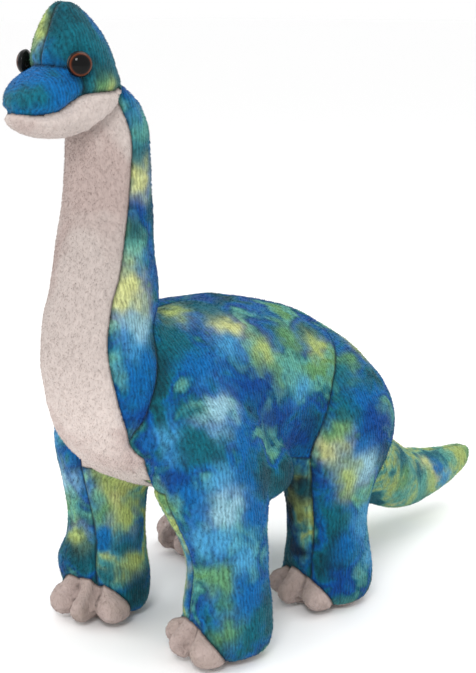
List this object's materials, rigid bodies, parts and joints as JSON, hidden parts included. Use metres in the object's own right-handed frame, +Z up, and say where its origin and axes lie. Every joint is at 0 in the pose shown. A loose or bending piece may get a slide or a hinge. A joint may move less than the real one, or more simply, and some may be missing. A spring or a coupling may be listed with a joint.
{
  "type": "stuffed dinosaur",
  "caption": "Standing plush long-necked dinosaur: sewn pile panels over soft fill, domed eyes, toed feet, and a neck, head, tail and legs that flex and spring back.",
  "frame": {"origin": "on the floor, under the middle of the toy's box", "axes": "+Z up, -Y the way the toy faces, +X its left side"},
  "size_m": [0.2036, 0.4436, 0.385],
  "materials": {
    "coloured_plush": "short pile, soft mottled blue, teal and yellow-green",
    "pale_plush": "short pile, warm pale grey",
    "fill": "loose white fibre",
    "eye": "clear dome over a brown iris and a black pupil",
    "washer": "plain",
    "label": "woven ribbon, blank"
  },
  "bodies": {
    "torso": {"belly_panel": "pale_plush", "care_label": "label", "flank_left": "coloured_plush", "flank_right": "coloured_plush", "torso_fill": "fill"},
    "neck": {"neck_fill": "fill", "neck_left": "coloured_plush", "neck_right": "coloured_plush", "throat_panel": "pale_plush"},
    "head": {"crown_panel": "coloured_plush", "eye_left": "eye", "eye_right": "eye", "eye_washer_left": "washer", "eye_washer_right": "washer", "head_fill": "fill", "jaw_panel": "pale_plush", "muzzle_panel": "coloured_plush"},
    "tail": {"tail_fill": "fill", "tail_left": "coloured_plush", "tail_right": "coloured_plush"},
    "leg_front_left": {"front_left_fill": "fill", "front_left_inner": "coloured_plush", "front_left_outer": "coloured_plush", "front_left_sole": "pale_plush", "front_left_toe_cap": "pale_plush"},
    "leg_front_right": {"front_right_fill": "fill", "front_right_inner": "coloured_plush", "front_right_outer": "coloured_plush", "front_right_sole": "pale_plush", "front_right_toe_cap": "pale_plush"},
    "leg_rear_left": {"rear_left_fill": "fill", "rear_left_inner": "coloured_plush", "rear_left_outer": "coloured_plush", "rear_left_sole": "pale_plush", "rear_left_toe_cap": "pale_plush"},
    "leg_rear_right": {"rear_right_fill": "fill", "rear_right_inner": "coloured_plush", "rear_right_outer": "coloured_plush", "rear_right_sole": "pale_plush", "rear_right_toe_cap": "pale_plush"}
  },
  "joints": [
    {"name": "neck_bend", "type": "hinge", "parent": "torso", "child": "neck", "pos_m": [0.00665, -0.15625, 0.202], "axis": [1, 0, 0], "range_deg": [-14, 14], "stiffness_Nm_per_rad": 1.2},
    {"name": "head_nod", "type": "hinge", "parent": "neck", "child": "head", "pos_m": [0.00665, -0.15225, 0.316], "axis": [1, 0, 0], "range_deg": [-14, 14], "stiffness_Nm_per_rad": 0.5},
    {"name": "tail_sway", "type": "hinge", "parent": "torso", "child": "tail", "pos_m": [0.00665, 0.07375, 0.072], "axis": [0, 0, 1], "range_deg": [-20, 20], "stiffness_Nm_per_rad": 0.6},
    {"name": "leg_front_left_swing", "type": "hinge", "parent": "torso", "child": "leg_front_left", "pos_m": [0.06315, -0.11875, 0.102], "axis": [1, 0, 0], "range_deg": [-8, 8], "stiffness_Nm_per_rad": 3},
    {"name": "leg_front_right_swing", "type": "hinge", "parent": "torso", "child": "leg_front_right", "pos_m": [-0.03135, -0.12325, 0.102], "axis": [1, 0, 0], "range_deg": [-8, 8], "stiffness_Nm_per_rad": 3},
    {"name": "leg_rear_left_swing", "type": "hinge", "parent": "torso", "child": "leg_rear_left", "pos_m": [0.05615, -0.00725, 0.102], "axis": [1, 0, 0], "range_deg": [-8, 8], "stiffness_Nm_per_rad": 3},
    {"name": "leg_rear_right_swing", "type": "hinge", "parent": "torso", "child": "leg_rear_right", "pos_m": [-0.05185, -0.00025, 0.102], "axis": [1, 0, 0], "range_deg": [-8, 8], "stiffness_Nm_per_rad": 3}
  ]
}
